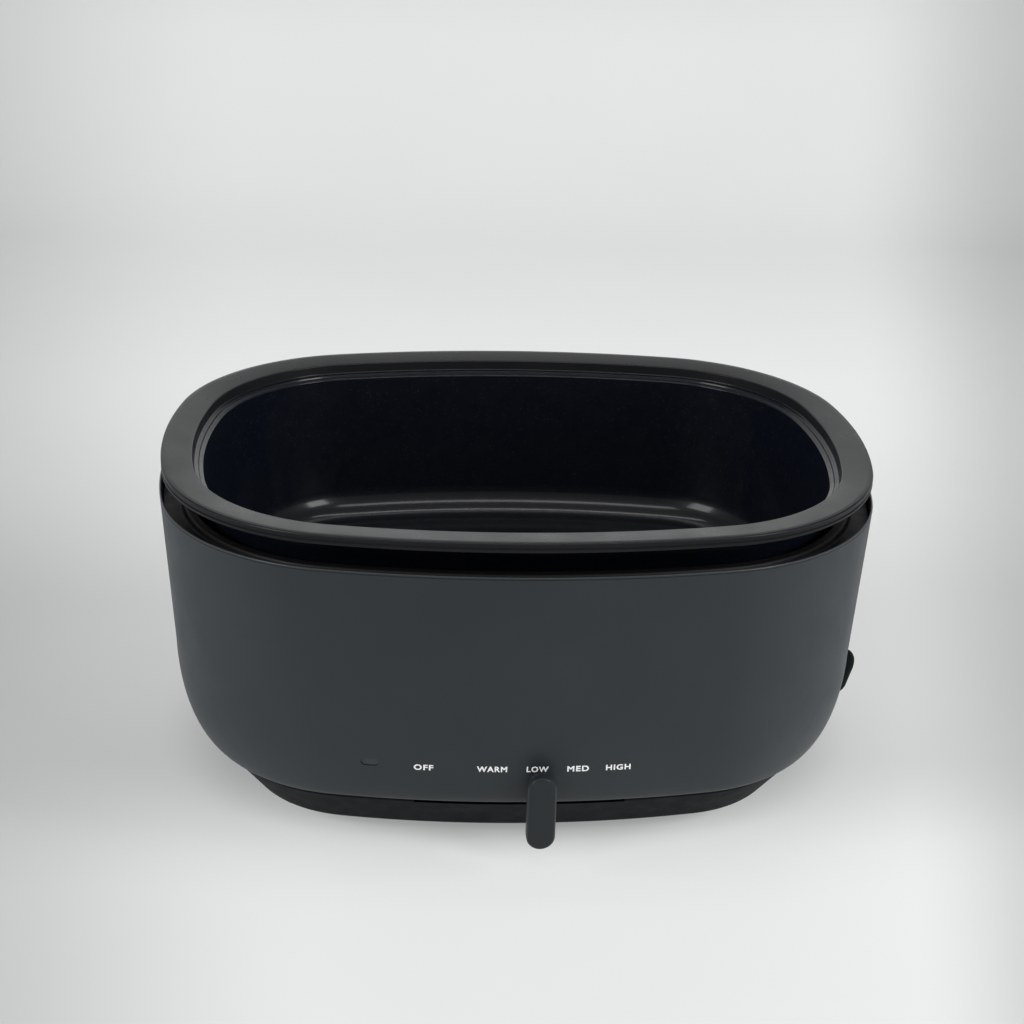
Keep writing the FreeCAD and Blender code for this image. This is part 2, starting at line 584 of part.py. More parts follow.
def contact_rotor():
    """Disc inside the switch with one wiper nose and detent notches round its edge."""
    rotor = cylinder(11.0, BRACKET_Z1 + 5, SWITCH_TOP - 6)
    for k in range(12):
        rotor = rotor.cut(turned(cylinder(1.2, BRACKET_Z1, SWITCH_TOP, 11.4, 0), 30 * k))
    rotor = rotor.fuse(block(-1.5, 1.5, 0, 12.2, BRACKET_Z1 + 6, SWITCH_TOP - 7))
    rotor = rotor.cut(cylinder(SHAFT_R, BRACKET_Z1, SWITCH_TOP))
    rotor.translate(V(0, SWITCH_Y, 0))
    return rotor.removeSplitter()


# ---------------------------------------------------------------- lamp, cord exit and wiring
def indicator_lens():
    """Lens set back in the shell's window, with a flange behind the sheet."""
    face = pill(LENS_W - 0.1, LENS_H - 0.1, SHELL_T)
    face.translate(V(0, LENS_SUNK, 0))
    back = pill(LENS_W + 3, LENS_H + 3, 1.2)
    back.translate(V(0, SHELL_T + 0.6, 0))
    return lens_place(face.fuse(back).removeSplitter())


LAMP_Y1 = 24.0             # back of the lamp holder, behind the shell's surface


def lamp_holder():
    holder = block(-9, 9, SHELL_T + 1.8, LAMP_Y1, -6, 6)
    bore = Part.makeCylinder(3.4, LAMP_Y1 - 2, V(0, 0, 0), V(0, 1, 0))
    return lens_place(holder.cut(bore))


def neon_lamp():
    bulb = Part.makeCylinder(2.8, 14, V(0, SHELL_T + 3.2, 0), V(0, 1, 0))
    return lens_place(bulb.makeFillet(1.2, [e for e in bulb.Edges if e.BoundBox.YMax < SHELL_T + 3.3]))


def cord_gland():
    """Soft boss round the cord's hole, with a neck through the shell; the hole runs right through."""
    depth = GLAND_PROUD + 6
    boss = turned(pill(GLAND_W, GLAND_H, depth), 90)
    boss = boss.makeFillet(GLAND_ROUND, [e for e in boss.Edges if e.BoundBox.XMin > -0.01])
    boss.translate(V(GLAND_PROUD, 0, 0))
    outside = gland_place(boss).cut(shell_form(-0.05, SHELL_Z0, SHELL_Z1))
    neck = gland_place(along_x(GLAND_NECK_R, -14, 4))
    return outside.fuse(neck).cut(gland_place(along_x(CORD_BORE_R, -20, 40))).removeSplitter()


def gland_nut():
    nut = hexagon(20, 0, 4).cut(cylinder(GLAND_NECK_R, -1, 6))
    nut.rotate(V(), V(0, 1, 0), 90)
    nut.translate(V(-11, 0, 0))
    return gland_place(nut)


TERMINALS = V(118, 10, 0)  # middle of the terminal block
TERMINAL_PITCH = 14.0
WIRE_Z = PLATE_Z1 + 5      # height of the wires in the block


def terminal_block():
    body = block(-9, 9, -22, 22, PLATE_Z1, PLATE_Z1 + 15)
    for y in (-TERMINAL_PITCH, 0, TERMINAL_PITCH):
        body = body.cut(cylinder(3.0, PLATE_Z1 + 9, PLATE_Z1 + 16, 0, y))
        body = body.cut(Part.makeCylinder(2.0, 30, V(-15, y, WIRE_Z), V(1, 0, 0)))
    body.translate(TERMINALS)
    return body


def terminal_screws():
    places = (-TERMINAL_PITCH, 0, TERMINAL_PITCH)
    group = Part.makeCompound([cylinder(2.6, PLATE_Z1 + 9, PLATE_Z1 + 12, 0, y) for y in places])
    group.translate(TERMINALS)
    return group


FUSE = V(33, -60, 79.5)    # middle of the thermal cut-out
FUSE_R = 2.4


def fuse_body(radius, length):
    return Part.makeCylinder(radius, length, FUSE - V(length / 2, 0, 0), V(1, 0, 0))


def thermal_fuse():
    """Cut-out in a sleeve under the well's floor."""
    return fuse_body(FUSE_R, 26).fuse(fuse_body(0.6, 42))


def fuse_clip():
    x, y, z = FUSE
    saddle = block(x - 3, x + 3, y - 4, y + 4, z - 3.1, WELL_UNDER_Z).cut(fuse_body(FUSE_R, 26))
    return saddle.cut(block(x - 4, x + 4, y - 2, y + 2, z, WELL_UNDER_Z + 1))


def earth_stud():
    x, y = 60, -40
    return cylinder(2.0, PLATE_Z1, PLATE_Z1 + 12, x, y).fuse(hexagon(7, PLATE_Z1, PLATE_Z1 + 3.2, x, y))


def lead(points, radius):
    """Insulated wire along straight runs joined by tangent arcs."""
    runs = [V(*p) for p in points]
    edges, here = [], runs[0]
    for before, corner, after in zip(runs, runs[1:], runs[2:]):
        to_before, to_after = (before - corner).normalize(), (after - corner).normalize()
        half = to_before.getAngle(to_after) / 2
        reach = 0.42 * min((before - corner).Length, (after - corner).Length)
        bend = reach * tan(half)
        start, end = corner + to_before * reach, corner + to_after * reach
        middle = corner + (to_before + to_after).normalize() * (bend / sin(half) - bend)
        edges += [Part.LineSegment(here, start).toShape(), Part.Arc(start, middle, end).toShape()]
        here = end
    edges.append(Part.LineSegment(here, runs[-1]).toShape())
    path = Part.Wire(edges)
    ring = Part.Wire(Part.Circle(runs[0], (runs[1] - runs[0]).normalize(), radius).toShape())
    return path.makePipeShell([ring], True, False)


LEAD_R = 1.3


def internal_leads():
    """Leads from the terminal block to the switch, the lamp and the thermal cut-out."""
    x, y = TERMINALS.x - 9.5, TERMINALS.y
    back, front, tab_z = SWITCH_Y + TAB_Y, SWITCH_Y - TAB_Y, SWITCH_TOP + 7.7
    routes = [
        [(x, y + TERMINAL_PITCH, WIRE_Z), (96, 24, 14), (80, 40, 40), (50, 58, tab_z), (22, back, tab_z),
         (TAB_X, back, tab_z)],
        [(x, y - TERMINAL_PITCH, WIRE_Z), (90, -4, 14), (72, -12, 38), (50, 4, tab_z), (26, front, tab_z),
         (TAB_X, front, tab_z)],
        [(x, y, WIRE_Z), (94, 10, 20), (84, -10, 52), (10, -30, 62), (-40, -84, 60), (-76, -112, LENS_Z)],
    ]
    return Part.makeCompound([lead(route, LEAD_R) for route in routes])


# ---------------------------------------------------------------- all pieces
NODES = {
    "cooking_pot": cooking_pot,
    "outer_shell": outer_shell,
    "heating_well": heating_well,
    "liner_ring": liner_ring,
    "lower_heater_band": lambda: band(*LOWER_BAND, BAND_GAP, BAND_GAP + BAND_T),
    "upper_heater_band": lambda: band(*UPPER_BAND, BAND_GAP, BAND_GAP + BAND_T),
    "band_clips": strap_buckle,
    "insulation_wrap": lambda: band(WRAP[0], WRAP[1], WRAP_GAP, WRAP_GAP + WRAP_T),
    "heat_shield": heat_shield,
    "base_tray": base_tray,
    "base_plate": base_plate,
    "rubber_feet": rubber_feet,
    "base_screws": base_screws,
    "standoff_posts": standoff_posts,
    "post_screws": post_screws,
    "control_knob": control_knob,
    "lever_arm": lever_arm,
    "sector_gear": sector_gear,
    "sector_rivets": sector_rivets,
    "pivot_pin": pivot_pin,
    "pivot_clip": pivot_clip,
    "switch_pinion": switch_pinion,
    "switch_shaft": switch_shaft,
    "contact_rotor": contact_rotor,
    "rotary_switch": rotary_switch,
    "bushing_nut": bushing_nut,
    "switch_bracket": switch_bracket,
    "indicator_lens": indicator_lens,
    "lamp_holder": lamp_holder,
    "neon_lamp": neon_lamp,
    "cord_gland": cord_gland,
    "gland_nut": gland_nut,
    "terminal_block": terminal_block,
    "terminal_screws": terminal_screws,
    "thermal_fuse": thermal_fuse,
    "fuse_clip": fuse_clip,
    "earth_stud": earth_stud,
    "internal_leads": internal_leads,
}

os.makedirs("parts", exist_ok=True)
for name, build in NODES.items():
    shape = build()
    shape.translate(V(0, OVAL_Y, 0))
    shape.exportStep("parts/%s.step" % name)
    box = shape.BoundBox
    print("%-18s solids %d valid %s volume %.1f cm3  x %.1f..%.1f  y %.1f..%.1f  z %.1f..%.1f" % (
        name, len(shape.Solids), shape.isValid(), shape.Volume / 1000,
        box.XMin, box.XMax, box.YMin, box.YMax, box.ZMin, box.ZMax))
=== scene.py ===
"""Looks for the oval slow cooker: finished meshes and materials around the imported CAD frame.

Lengths in the tables below are millimetres; MM turns them into the frame's metres.
Ovals are centred OVAL_Y behind the frame's origin, as they are in the CAD model.
"""
import bpy
import bmesh
from math import atan2, ceil, cos, pi, radians, sin, sqrt, tan
from mathutils import Matrix, Vector


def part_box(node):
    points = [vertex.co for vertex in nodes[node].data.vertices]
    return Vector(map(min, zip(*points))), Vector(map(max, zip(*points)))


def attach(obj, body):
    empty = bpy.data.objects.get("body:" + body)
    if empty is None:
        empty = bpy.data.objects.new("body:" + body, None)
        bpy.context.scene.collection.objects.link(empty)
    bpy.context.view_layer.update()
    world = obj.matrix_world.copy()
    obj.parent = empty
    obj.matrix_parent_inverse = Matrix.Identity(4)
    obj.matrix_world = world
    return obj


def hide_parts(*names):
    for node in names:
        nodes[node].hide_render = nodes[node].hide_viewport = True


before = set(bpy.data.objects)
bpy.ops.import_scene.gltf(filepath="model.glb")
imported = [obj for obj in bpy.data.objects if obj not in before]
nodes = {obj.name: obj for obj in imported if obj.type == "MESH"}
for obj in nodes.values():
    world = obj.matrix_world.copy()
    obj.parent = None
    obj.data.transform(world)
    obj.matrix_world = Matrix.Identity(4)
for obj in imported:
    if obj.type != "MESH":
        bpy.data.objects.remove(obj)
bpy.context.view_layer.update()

MM = 0.001
OVAL_Y = 4.1

# ---------------------------------------------------------------- shape: the CAD model's driving sizes
# An oval is (half width, half depth, front arc radius, side arc radius, corner arc radius).
RIM = (195.0, 147.8, 559.7, 278.7, 108.5)          # outer edge of the pot's flange
SHELL_TOP = (197.0, 149.8, 561.7, 280.7, 110.5)
SHELL_BOTTOM = (173.0, 139.3, 561.7, 272.2, 80.5)

# A name with _D is an inset from an oval: from RIM for the pot, the well and the liner, and from
# SHELL_BOTTOM for the shell's flange and the tray. DROP is a height below the top of the rim.
RIM_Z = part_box("cooking_pot")[1].z / MM
POT_DEPTH, POT_FLOOR_T, POT_FILLET = 97.0, 4.0, 18.0
FLANGE_T, FLANGE_D = 5.5, -0.4
GROOVE_T, GROOVE_STEP = 0.5, 0.4           # groove in the flange's edge: depth, and height of each facet
RIM_FLAT_D, RIM_FALL = 2.4, 1.3            # flange's top falls inwards from this inset, by this much
STEP_TOP_D, STEP_FOOT_D, STEP_DROP = 16.4, 17.2, 6.8       # wall of the lid's step
SEAT_TOP_D, SEAT_TOP_DROP = 19.4, 7.3      # small second step on the lid's ledge
SEAT_FOOT_D, SEAT_FOOT_DROP = 19.8, 8.2
LEDGE_DROP = 9.0                           # inner edge of the lid's ledge
POT_WALL_TOP_D, POT_WALL_FLOOR_D = 22.2, 27.8
COLLAR_TOP_D, COLLAR_FOOT_D, COLLAR_DROP = 10.6, 11.2, 11.4        # outside, just below the flange
SIDE_TOP_D, SIDE_FLOOR_D, SIDE_DROP = 20.8, 24.6, 11.8     # outside, from the collar to the pot's base
CORE_D = 62.0                              # flat discs that fill the floors of the pot and the well

SHELL_Z0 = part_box("outer_shell")[0].z / MM
SHELL_Z1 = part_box("outer_shell")[1].z / MM
SHELL_ROUND = 47.0                         # height of the rounded lower part
SHELL_TAPER = 0.214                        # share of the draw-in that the straight upper part takes
SHELL_T, SHELL_FLANGE_D = 1.2, 18
SHELL_LINE = ((1.5, 0), (1.4, 0.3), (1.1, 0.3), (1.0, 0))  # line round the shell: (below its top, inset)

LIFT_GAP = 0.3                             # between the pot's base and the well's floor
WELL_TOP_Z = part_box("heating_well")[1].z / MM
WELL_FLOOR_Z = RIM_Z - POT_DEPTH - POT_FLOOR_T - LIFT_GAP
WELL_D_TOP, WELL_D_BOTTOM, WELL_LIP_D = 18.6, 22.2, 8.0
WELL_T, WELL_FILLET = 1.0, 5.0

LINER_D, LINER_RISE = -0.2, 2.2            # outer edge, and top above the well's lip
LIP_OUT_D, LIP_TOP_D, LIP_IN_D, LIP_FOOT_D = 9.5, 10.6, 15.6, 17.2         # liner's raised lip
LIP_RISE = 3.4
RIB_OUT_D, RIB_IN_D, RIB_H = 5.4, 7.6, 4   # rib under the liner

PLATE_Z1, TRAY_Z0 = 7.0, 3.0
TRAY_D, TRAY_EDGE_H = 1.5, 2.4             # top edge, and height of its upright part
TRAY_T, TRAY_INNER_DROP = 3, 1.2           # wall, and where it turns in below the top edge
KNEE_D, KNEE_Z, TRAY_FOOT_D, TRAY_LIP_D = 18.6, 8.0, 26.0, 28.6    # tray's slope and underside
TRAY_LEDGE_D, TRAY_LEDGE_H, TRAY_INNER_D = 38, 2.4, 21.4           # ledge that the base plate closes
SLOT_X, SLOT_Z0, SLOT_BACK_Y = (-56.5, 54.5), 30.1, -110           # notch for the lever

PIVOT_Y = 102.0                            # lever's pivot, behind the ovals' centre
LEVER_REST = radians(1.95)                 # LOW: the lever stands a little to the right
KNOB_W, KNOB_H, KNOB_T, KNOB_CHAMFER = 15.0, 43.0, 6.5, 0.9
KNOB_FRONT_Y, KNOB_Z0 = -158.0, 15.4
KNOB_BACK_ROUND, KNOB_SOFT = 0.8, 0.06     # rounding of the back edge, and softening of the chamfer's
NECK_W, NECK_H, NECK_LENGTH, NECK_ROUND, NECK_Z = 9.0, 8.0, 4.4, 2.0, 32.0
NECK_FLARE, NECK_BEVEL = 0.8, 0.5          # where the neck meets the bar, and at its end

LENS_X, LENS_Z, LENS_W, LENS_H = -79.6, 58.8, 9.4, 4.6
WINDOW_REACH, WINDOW_MARGIN = 6, 0.5       # half length of the window's cutter, and room round the window
CUT_FACING = 0.7                           # the window's own faces look along Y by less than this
LABEL_Z, LABEL_CAP_H = 57.1, 3.5
LABEL_FLOAT, LABEL_T = 0.02, 0.05          # ink's back in front of the shell, and its thickness
LABEL_SPACING, LABEL_EXTRUDE, LABEL_BOLD = 1.16, 0.01, 0.03        # in the font's own size
LABELS = {                                 # middle and width of each word
    "OFF": (-51.9, 10.0),
    "WARM": (-16.7, 15.6),
    "LOW": (6.8, 11.3),
    "MED": (27.8, 11.3),
    "HIGH": (48.8, 12.9),
}

# ---------------------------------------------------------------- mesh fineness
AROUND_STEP = 4.0                          # spacing along the ovals
CORNER_STEPS, PILL_STEPS, RECTANGLE_STEPS, ROLL_STEPS = 6, 14, 5, 6        # steps of round stretches
ROUND_LEVELS, STRAIGHT_LEVELS = 20, 12     # rings in the shell's rounded and straight parts
CAP_SHARES = (0.75, 0.5, 0.25, 0.08)       # rings that fill a flat floor, as shares of its size

# ---------------------------------------------------------------- stage, in metres
FLOOR_HALF_W, FLOOR_FRONT, FLOOR_MID, FLOOR_BACK = 4.0, -3.0, -1.0, 1.1
FLOOR_ROUND, FLOOR_TOP, FLOOR_STEPS = 0.5, 3.5, 12
FAN_START, FAN_SPREAD = 1.095, 0.918       # the floor's painted fan of glow is FAN_START + FAN_SPREAD * y wide
CONTACT_X, CONTACT_Y, CONTACT_MID_Y = 0.168, 0.118, 0.006  # half sizes and middle of the painted contact shadow
PAINTED_SHADE_BESIDE, BAND_GLOW = -0.32, 2.7       # painted shade beside the cooker, and a painted bright band low on the backdrop
# How the floor's painted glow and painted shade change, as (from, to, level at from, level at to). The
# limits are in metres, but for the fan in shares of its width and for the contact shadow in squares of its
# half sizes.
GLOW = {
    "fan_left": (-0.33, -0.11, 0.33, 1),
    "fan_right": (0.21, 0.32, 1, 0.3),
    # these three rows paint shade: beside the cooker, and a contact shadow round its base
    "beside_near": (-0.14, -0.03, 0, 1),
    "beside_far": (0.2, 0.65, 1, 0),
    "contact": (0.8, 1.6, 0.62, 1),
    "floor_far": (0.25, 1.1, 0.8, 0.61),
    "wall_low": (0.15, 0.35, 0.56, 0.36),
    "band_low": (0.35, 0.5, 0, 1),
    "band_high": (0.7, 0.95, 1, 0),
    "wall_high": (0.35, 0.5, 1, 0.15),
}
LIGHTS = [                                 # name, place, aim, size, watts, seen in reflections
    ("back_softbox", (0.0, 1.45, 1.38), (0, -0.1, 0.15), (2.2, 1.0), 19, False),
    ("top_strip", (0.0, 0.2, 1.9), (0, 0, 0.1), (1.4, 0.12), 3, True),
    ("left_softbox", (-1.5, -1.1, 1.15), (0, 0, 0.1), (0.7, 0.9), 9, True),
    ("right_softbox", (1.4, -1.26, 1.15), (0, 0, 0.1), (0.6, 0.8), 9, True),
    ("side_strip", (-1.9, -0.35, 0.6), (0, 0, 0.1), (0.7, 1.0), 38, False),
    ("side_strip", (1.9, -0.35, 0.6), (0, 0, 0.1), (0.7, 1.0), 54, False),
    ("overhead_strip", (0.0, -1.0, 1.75), (0, -0.1, 0.1), (1.3, 0.25), 4, True),
]
WORLD_COLOR, WORLD_STRENGTH = (0.98, 1.0, 0.985), 0.22

CAMERA_YAW, CAMERA_ELEVATION, CAMERA_ROLL = radians(-3.67), radians(21.0), radians(1.69)
CAMERA_DISTANCE, CAMERA_AIM = 1.0257, (-0.0011, 0, -0.0474)        # from the rim's centre
CAMERA_LENS, CAMERA_SENSOR, CAMERA_CLIP = 64.3, 36.0, (0.05, 50)


# ---------------------------------------------------------------- ovals
def corner_arc(oval):
    """Centre of the corner arc in the +X +Y quarter, and the angles where it starts and ends."""
    half_w, half_d, r_front, r_side, r_corner = oval
    side, back = Vector((half_w - r_side, 0)), Vector((0, half_d - r_front))
    from_side, from_back = r_side - r_corner, r_front - r_corner
    span = (back - side).length
    along = (from_side**2 - from_back**2 + span**2) / (2 * span)
    across = sqrt(from_side**2 - along**2)
    unit = (back - side) / span
    normal = Vector((unit.y, -unit.x))
    foot = side + unit * along
    centre = max((foot + normal * across, foot - normal * across), key=lambda p: p.x + p.y)
    start = atan2(centre.y - side.y, centre.x - side.x)
    end = atan2(centre.y - back.y, centre.x - back.x)
    return centre, start, end


def oval_arcs(oval):
    """The eight arcs, anticlockwise from the right, as (centre, radius, start angle, end angle)."""
    half_w, half_d, r_front, r_side, r_corner = oval
    c, a1, a2 = corner_arc(oval)
    side, back = half_w - r_side, half_d - r_front
    return [
        (Vector((side, 0)), r_side, -a1, a1),
        (Vector((c.x, c.y)), r_corner, a1, a2),
        (Vector((0, back)), r_front, a2, pi - a2),
        (Vector((-c.x, c.y)), r_corner, pi - a2, pi - a1),
        (Vector((-side, 0)), r_side, pi - a1, pi + a1),
        (Vector((-c.x, -c.y)), r_corner, pi + a1, pi + a2),
        (Vector((0, -back)), r_front, pi + a2, 2 * pi - a2),
        (Vector((c.x, -c.y)), r_corner, 2 * pi - a2, 2 * pi - a1),
    ]


ARC_STEPS = [ceil((a1 - a0) * r / AROUND_STEP) for _, r, a0, a1 in oval_arcs(RIM)]


def oval_points(oval, inset=0.0):
    """Points round the oval. Every oval has the same number, so sections can be joined."""
    points = []
    for (centre, radius, a0, a1), steps in zip(oval_arcs(oval), ARC_STEPS):
        for k in range(steps):
            a = a0 + (a1 - a0) * k / steps
            points.append(centre + Vector((cos(a), sin(a))) * (radius - inset))
    return points


def blend(top, bottom, share):
    return tuple(t + (b - t) * share for t, b in zip(top, bottom))


def rounded(corners):
    """Points along an outline of (inset, z) or (inset, z, radius) corners, with the corners rounded."""
    points = []
    count = len(corners)
    for i, corner in enumerate(corners):
        p = Vector(corner[:2])
        r = corner[2] if len(corner) > 2 else 0
        if not r:
            points.append(p)
            continue
        to_prev = (Vector(corners[i - 1][:2]) - p).normalized()
        to_next = (Vector(corners[(i + 1) % count][:2]) - p).normalized()
        half = to_prev.angle(to_next) / 2
        centre = p + (to_prev + to_next).normalized() * (r / sin(half))
        start = p + to_prev * (r / tan(half)) - centre
        turn = pi - 2 * half
        if to_prev.cross(to_next) > 0:
            turn = -turn
        for k in range(CORNER_STEPS + 1):
            a = turn * k / CORNER_STEPS
            across, up = start.x * cos(a) - start.y * sin(a), start.x * sin(a) + start.y * cos(a)
            points.append(centre + Vector((across, up)))
    return points


# ---------------------------------------------------------------- mesh helpers
def place_object(name, data):
    """New object, linked into the scene."""
    obj = bpy.data.objects.new(name, data)
    bpy.context.scene.collection.objects.link(obj)
    return obj


def new_object(name, mesh, body, replaced, materials, angle):
    """Finished piece that rides on a body, with sharp edges where it turns by more than angle degrees."""
    mesh.validate()
    for polygon in mesh.polygons:
        polygon.use_smooth = True
    mesh.set_sharp_from_angle(angle=radians(angle))
    obj = place_object(name, mesh)
    for material in materials:
        mesh.materials.append(material)
    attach(obj, body)
    if replaced:
        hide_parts(*replaced)
    return obj


def mesh_from(name, bm):
    mesh = bpy.data.meshes.new(name)
    bm.to_mesh(mesh)
    bm.free()
    return mesh


def join_rings(bm, rows):
    """Faces between each ring of vertices and the next one."""
    for lower, upper in zip(rows, rows[1:]):
        for k in range(len(lower)):
            n = (k + 1) % len(lower)
            bm.faces.new((lower[k], lower[n], upper[n], upper[k]))


def fill_cap(bm, row):
    """Closes a ring with shrinking rings and a small middle face, so that the cap stays evenly meshed."""
    centre = sum((v.co for v in row), Vector()) / len(row)
    outer = row
    for share in CAP_SHARES:
        inner = [bm.verts.new(centre + (v.co - centre) * share) for v in row]
        join_rings(bm, [outer, inner])
        outer = inner
    bm.faces.new(outer)


def ring_mesh(name, rings, closed=True, caps=()):
    """Mesh from rings of equal count, joined in a loop if closed, with the rings listed in caps filled."""
    bm = bmesh.new()
    rows = []
    for ring in rings:
        rows.append([bm.verts.new((x * MM, (y + OVAL_Y) * MM, z * MM)) for x, y, z in ring])
    join_rings(bm, rows + rows[:1] if closed else rows)
    for index in caps:
        fill_cap(bm, rows[index])
    bmesh.ops.recalc_face_normals(bm, faces=bm.faces)
    return mesh_from(name, bm)


def sweep_rings(oval, outline):
    """Rings for an (inset, z) outline carried round the oval."""
    return [[(p.x, p.y, z) for p in oval_points(oval, inset)] for inset, z in outline]


def box_cutter(x0, x1, y0, y1, z0, z1):
    """Block between the given planes, for cutting with."""
    bm = bmesh.new()
    bmesh.ops.create_cube(bm, size=1)
    for v in bm.verts:
        x, y, z = x0 if v.co.x < 0 else x1, y0 if v.co.y < 0 else y1, z0 if v.co.z < 0 else z1
        v.co = Vector((x * MM, (y + OVAL_Y) * MM, z * MM))
    return place_object("cutter", mesh_from("cutter", bm))


def cut_with(obj, cutter):
    """Cuts one solid out of another and keeps the result as plain mesh."""
    modifier = obj.modifiers.new("cut", "BOOLEAN")
    modifier.operation, modifier.solver, modifier.object = "DIFFERENCE", "EXACT", cutter
    bpy.context.view_layer.update()
    evaluated = obj.evaluated_get(bpy.context.evaluated_depsgraph_get())
    result = bpy.data.meshes.new_from_object(evaluated)
    obj.modifiers.clear()
    obj.data = result
    bpy.data.objects.remove(cutter)


# ---------------------------------------------------------------- materials
class Nodes:
    """Small builder for node materials. Textures are in cycles per metre, and bumps in millimetres."""

    def __init__(self, name, color, roughness, metallic=0.0, specular=0.5):
        self.material = bpy.data.materials.new(name)
        self.material.use_nodes = True
        self.tree = self.material.node_tree
        self.shader = self.tree.nodes["Principled BSDF"]
        self.shader.inputs["Base Color"].default_value = (*color, 1)
        self.shader.inputs["Roughness"].default_value = roughness
        self.shader.inputs["Metallic"].default_value = metallic
        self.shader.inputs["Specular IOR Level"].default_value = specular
        self.bumps = None

    def add(self, kind, **inputs):
        node = self.tree.nodes.new(kind)
        for key, value in inputs.items():
            node.inputs[key.replace("_", " ")].default_value = value
        return node

    def link(self, source, target):
        self.tree.links.new(source, target)

    def place(self, scale):
        """Object coordinates times scale, in cycles per metre. The texture's own Scale stays at 1."""
        coordinates = self.tree.nodes.new("ShaderNodeTexCoord")
        mapping = self.tree.nodes.new("ShaderNodeMapping")
        mapping.inputs["Scale"].default_value = scale if isinstance(scale, tuple) else (scale,) * 3
        self.link(coordinates.outputs["Object"], mapping.inputs["Vector"])
        return mapping.outputs["Vector"]

    def noise(self, per_metre, detail):
        node = self.add("ShaderNodeTexNoise", Scale=1.0, Detail=detail)
        self.link(self.place(per_metre), node.inputs["Vector"])
        return node.outputs["Fac"]

    def voronoi(self, per_metre):
        node = self.add("ShaderNodeTexVoronoi", Scale=1.0)
        self.link(self.place(per_metre), node.inputs["Vector"])
        return node.outputs["Distance"]

    def remap(self, value, low, high, to_low, to_high):
        node = self.tree.nodes.new("ShaderNodeMapRange")
        for key, number in zip(("From Min", "From Max", "To Min", "To Max"), (low, high, to_low, to_high)):
            node.inputs[key].default_value = number
        self.link(value, node.inputs["Value"])
        return node.outputs["Result"]

    def smooth(self, value, low, high, to_low, to_high):
        result = self.remap(value, low, high, to_low, to_high)
        result.node.interpolation_type = "SMOOTHSTEP"
        return result

    def math(self, operation, *values):
        node = self.tree.nodes.new("ShaderNodeMath")
        node.operation = operation
        for socket, value in zip(node.inputs, values):
            if isinstance(value, float):
                socket.default_value = value
            else:
                self.link(value, socket)
        return node.outputs["Value"]

    def vary_color(self, fac, dark, light):
        mix = self.tree.nodes.new("ShaderNodeMix")
        mix.data_type = "RGBA"
        mix.inputs["A"].default_value = (*dark, 1)
        mix.inputs["B"].default_value = (*light, 1)
        self.link(fac, mix.inputs["Factor"])
        self.link(mix.outputs["Result"], self.shader.inputs["Base Color"])

    def vary_roughness(self, fac, low, high):
        self.link(self.remap(fac, 0.3, 0.7, low, high), self.shader.inputs["Roughness"])

    def bump(self, height, depth_mm):
        node = self.tree.nodes.new("ShaderNodeBump")
        node.inputs["Strength"].default_value = 1.0
        node.inputs["Distance"].default_value = depth_mm * MM
        self.link(height, node.inputs["Height"])
        if self.bumps is not None:
            self.link(self.bumps, node.inputs["Normal"])
        self.bumps = node.outputs["Normal"]
        self.link(self.bumps, self.shader.inputs["Normal"])


def satin_paint(name, dark, light, roughness, grain=900, depth=0.012, specular=0.5):
    """Satin enamel: fine texture, faint cloudiness and slightly uneven gloss."""
    m = Nodes(name, dark, roughness, specular=specular)
    m.vary_color(m.remap(m.noise(14, 4), 0.35, 0.65, 0, 1), dark, light)
    m.vary_roughness(m.noise(45, 5), roughness - 0.04, roughness + 0.05)
    m.bump(m.noise(grain, 2), depth)
    return m.material


def moulded_plastic(name, dark, light, roughness, grain=650, depth=0.02, specular=0.5):
    """Spark-eroded moulding texture."""
    m = Nodes(name, dark, roughness, specular=specular)
    m.vary_color(m.remap(m.noise(30, 4), 0.35, 0.65, 0, 1), dark, light)
    m.vary_roughness(m.noise(120, 4), roughness - 0.05, roughness + 0.06)
    m.bump(m.voronoi(grain), depth)
    return m.material


def coated_pot():
    """Glossy speckled coating with an orange-peel skin."""
    m = Nodes("pot_coating", (0.0022, 0.0032, 0.006), 0.36, specular=0.2)
    m.shader.inputs["Coat Weight"].default_value = 0.55
    m.shader.inputs["Coat Roughness"].default_value = 0.13
    flecks = m.remap(m.voronoi(480), 0.0, 0.17, 1, 0)
    m.vary_color(flecks, (0.0017, 0.0026, 0.005), (0.034, 0.038, 0.05))
    m.vary_roughness(m.noise(160, 4), 0.32, 0.42)
    m.bump(m.noise(520, 2), 0.035)
    m.bump(m.noise(1500, 1), 0.012)
    return m.material


def sheet_metal(name, dark, light, roughness, along=(6, 900, 900)):
    """Rolled sheet with a fine directional grain."""
    m = Nodes(name, dark, roughness, metallic=1.0)
    grain = m.noise(along, 3)
    m.vary_color(m.remap(m.noise(25, 5), 0.3, 0.7, 0, 1), dark, light)
    m.vary_roughness(grain, roughness - 0.06, roughness + 0.1)
    m.bump(grain, 0.01)
    return m.material


def felt():
    m = Nodes("glass_felt", (0.6, 0.55, 0.42), 0.95, specular=0.1)
    m.vary_color(m.remap(m.noise(300, 6), 0.35, 0.65, 0, 1), (0.5, 0.45, 0.33), (0.74, 0.7, 0.58))
    m.bump(m.noise(700, 6), 0.4)
    m.shader.inputs["Sheen Weight"].default_value = 0.3
    return m.material


def clear_glass():
    m = Nodes("lamp_glass", (0.95, 0.8, 0.68), 0.04)
    m.shader.inputs["Transmission Weight"].default_value = 0.9
    m.bump(m.noise(200, 2), 0.01)
    return m.material


def heat_sleeve():
    m = Nodes("lead_sleeve", (0.6, 0.57, 0.5), 0.8)
    wave = m.add("ShaderNodeTexWave", Scale=1.0, Distortion=1.0)
    m.link(m.place(900), wave.inputs["Vector"])
    m.vary_color(wave.outputs["Fac"], (0.5, 0.47, 0.4), (0.75, 0.72, 0.66))
    m.bump(wave.outputs["Fac"], 0.1)
    return m.material


